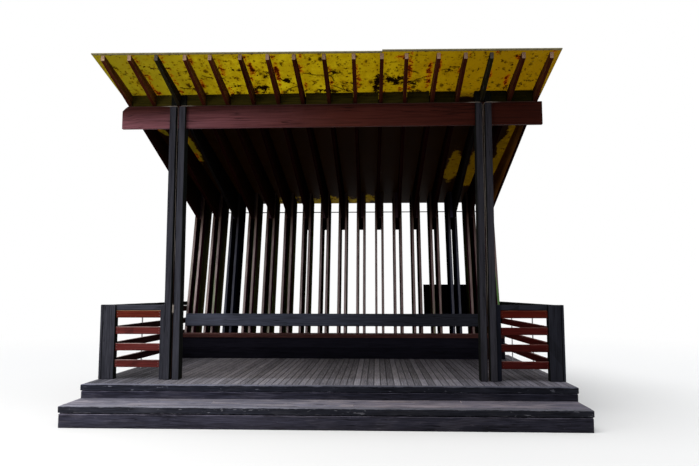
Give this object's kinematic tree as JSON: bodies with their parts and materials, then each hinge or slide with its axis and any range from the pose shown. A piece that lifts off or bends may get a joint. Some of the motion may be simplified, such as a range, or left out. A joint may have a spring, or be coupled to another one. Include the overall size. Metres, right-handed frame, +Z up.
{
  "type": "bandstand",
  "caption": "Open timber bandstand: a raised stage with front steps, a sloping roof of yellow sheets on tapered rafters, and a leaning wall of paired boards with a bench.",
  "frame": {"origin": "on the ground, at the middle of the plan's outer box", "axes": "+X to the right along the front, +Y from the steps towards the back wall, +Z up"},
  "size_m": [6, 5.1104, 4.4109],
  "materials": {
    "dark_timber": "weathered dark stain",
    "deck_timber": "worn grey stain",
    "frame_timber": "grey-blue weathered stain",
    "beam_timber": "faded red-brown stain",
    "rafter_timber": "red-brown stain",
    "block_timber": "dark olive stain",
    "fin_timber": "pale weathered front edges, darker faces",
    "seat_timber": "worn red stain",
    "bench_timber": "black stain",
    "rail_timber": "worn orange-red stain",
    "panel_board": "dark plain board",
    "yellow_sheet": "translucent, stained by litter",
    "edge_strip": "pale worn edge",
    "rod_metal": "dark matt",
    "strap_metal": "dull",
    "cable_sheath": "white sheath"
  },
  "bodies": {
    "root": {"ground_bearers": "dark_timber", "stage_joists": "dark_timber", "step_bearers": "dark_timber", "step_riser": "dark_timber", "step_edge": "dark_timber", "step_ends": "dark_timber", "stage_riser": "dark_timber", "stage_edge": "dark_timber", "side_skirts": "dark_timber", "rear_skirt": "dark_timber", "step_tread": "deck_timber", "stage_boards": "deck_timber", "left_post_legs": "frame_timber", "left_post_core": "frame_timber", "left_post_back": "frame_timber", "right_post_legs": "frame_timber", "right_post_core": "frame_timber", "right_post_back": "frame_timber", "main_rafters": "frame_timber", "main_fins": "frame_timber", "back_rail": "frame_timber", "left_rail_posts": "frame_timber", "right_rail_posts": "frame_timber", "left_top_rails": "frame_timber", "right_top_rails": "frame_timber", "front_beam": "beam_timber", "left_rafters": "rafter_timber", "middle_rafters": "rafter_timber", "right_rafters": "rafter_timber", "beam_blocking": "block_timber", "outer_fins": "fin_timber", "middle_fins": "fin_timber", "bench_seat": "seat_timber", "bench_front": "bench_timber", "bench_ledger": "bench_timber", "left_front_rails": "rail_timber", "left_side_rails": "rail_timber", "right_front_rails": "rail_timber", "right_side_rails": "rail_timber", "rear_panel": "panel_board", "left_sheet": "yellow_sheet", "right_sheet": "yellow_sheet", "sheet_trim": "edge_strip", "rear_rod": "rod_metal", "side_straps": "strap_metal", "post_cables": "cable_sheath"}
  },
  "joints": []
}
